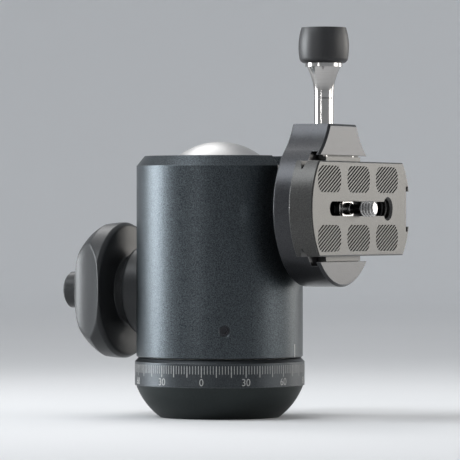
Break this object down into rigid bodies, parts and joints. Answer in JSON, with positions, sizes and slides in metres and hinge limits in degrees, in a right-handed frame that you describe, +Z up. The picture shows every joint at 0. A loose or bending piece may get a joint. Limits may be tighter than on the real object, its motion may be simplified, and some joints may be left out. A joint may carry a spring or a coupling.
{
  "type": "tripod ball head",
  "caption": "Ball head for a camera tripod, tilted into its drop notch, with a panning base, lock knobs and a dovetail quick-release clamp and plate.",
  "frame": {"origin": "centre of the base's underside, at the tripod thread, on the pan axis", "axes": "+Z up along the pan axis; +X towards the drop notch and the clamp at rest; the main knob points along -X and the pan lock along +Y"},
  "size_m": [0.1374, 0.1039, 0.1585],
  "materials": {
    "base_metal": "satin dark grey anodising",
    "ring_metal": "satin dark anodising with pale marks",
    "housing_metal": "bead-blasted dark blue-grey anodising",
    "ball_metal": "satin",
    "clamp_metal": "satin dark blue-grey anodising",
    "plate_metal": "sandblasted warm grey",
    "knob_plastic": "soft-touch dark grey",
    "rubber": "matt",
    "chrome": "polished",
    "steel": "bright",
    "black_steel": "black oxide",
    "brass": "plain",
    "nylon": "plain"
  },
  "bodies": {
    "base": {"base": "base_metal", "scale_ring": "ring_metal", "tripod_bush": "steel", "pan_spigot": "steel", "spigot_screws": "steel", "pan_washer": "nylon", "pan_retainer": "steel", "retainer_screws": "steel"},
    "pan": {"housing": "housing_metal", "seat_liner": "nylon", "floor_plate": "steel", "grub_screw": "black_steel", "knob_boss": "knob_plastic", "boss_clip": "steel", "pan_bush": "knob_plastic"},
    "main_knob": {"main_knob": "knob_plastic", "knob_nut": "brass"},
    "friction_dial": {"friction_dial": "knob_plastic"},
    "wedge": {"wedge_block": "brass", "push_rod": "steel"},
    "ball_cup": {"ball_cup": "nylon"},
    "pan_knob": {"pan_knob": "knob_plastic", "pan_sleeve": "brass"},
    "pan_shoe": {"pan_shoe": "brass"},
    "ball": {"ball": "ball_metal"},
    "head": {"ball_stem": "chrome", "clamp_bolt": "black_steel", "clamp_body": "clamp_metal", "fixed_jaw": "plate_metal", "jaw_screws": "black_steel", "jaw_pins": "steel", "stem_sleeve": "chrome"},
    "moving_jaw": {"moving_jaw": "plate_metal"},
    "clamp_knob": {"jaw_spindle": "black_steel", "knob_flare": "chrome", "knob_cap": "rubber"},
    "plate": {"plate": "plate_metal", "stop_screws": "steel"},
    "screw_carriage": {"screw_washer": "steel"},
    "camera_screw": {"camera_screw": "steel"}
  },
  "joints": [
    {"name": "pan_turn", "type": "hinge", "parent": "base", "child": "pan", "pos_m": [0, 0, 0.024], "axis": [0, 0, 1], "continuous": true},
    {"name": "main_knob_turn", "type": "hinge", "parent": "pan", "child": "main_knob", "pos_m": [-0.045, 0, 0.0515], "axis": [1, 0, 0], "range_deg": [-360, 0]},
    {"name": "friction_dial_turn", "type": "hinge", "parent": "main_knob", "child": "friction_dial", "pos_m": [-0.064, 0, 0.0515], "axis": [1, 0, 0], "range_deg": [-270, 0]},
    {"name": "wedge_slide", "type": "slide", "parent": "pan", "child": "wedge", "axis": [1, 0, 0], "range_m": [-0.00151, 0.00001]},
    {"name": "ball_cup_lift", "type": "slide", "parent": "pan", "child": "ball_cup", "axis": [0, 0, 1], "range_m": [-0.00033, 0.00001]},
    {"name": "pan_knob_turn", "type": "hinge", "parent": "pan", "child": "pan_knob", "pos_m": [0, 0.045, 0.0385], "axis": [0, -1, 0], "range_deg": [-360, 0]},
    {"name": "pan_shoe_slide", "type": "slide", "parent": "pan", "child": "pan_shoe", "axis": [0, -1, 0], "range_m": [-0.00101, 0.00001]},
    {"name": "ball_tilt", "type": "hinge", "parent": "pan", "child": "ball", "pos_m": [0, 0, 0.085], "axis": [0, -1, 0], "range_deg": [0, 108]},
    {"name": "head_spin", "type": "hinge", "parent": "ball", "child": "head", "pos_m": [0.03, 0, 0.085], "axis": [1, 0, 0], "continuous": true},
    {"name": "clamp_knob_turn", "type": "hinge", "parent": "head", "child": "clamp_knob", "pos_m": [0.047, 0, 0.13], "axis": [0, 0, 1], "range_deg": [0, 180]},
    {"name": "moving_jaw_slide", "type": "slide", "parent": "head", "child": "moving_jaw", "axis": [0, 0, 1], "range_m": [-0.00001, 0.00051]},
    {"name": "plate_slide", "type": "slide", "parent": "head", "child": "plate", "axis": [0, 1, 0], "range_m": [-0.0083, 0.0034]},
    {"name": "camera_screw_slide", "type": "slide", "parent": "plate", "child": "screw_carriage", "axis": [0, 1, 0], "range_m": [-0.027, 0.0125]},
    {"name": "camera_screw_turn", "type": "hinge", "parent": "screw_carriage", "child": "camera_screw", "pos_m": [0.06, 0.004, 0.085], "axis": [1, 0, 0], "continuous": true}
  ],
  "couplings": [
    {"joint": "wedge_slide", "follows": "main_knob_turn", "m_per_rad": 0.00023873},
    {"joint": "ball_cup_lift", "follows": "main_knob_turn", "m_per_rad": 0.000050744},
    {"joint": "pan_shoe_slide", "follows": "pan_knob_turn", "m_per_rad": 0.00015915},
    {"joint": "moving_jaw_slide", "follows": "clamp_knob_turn", "m_per_rad": 0.00015915}
  ]
}
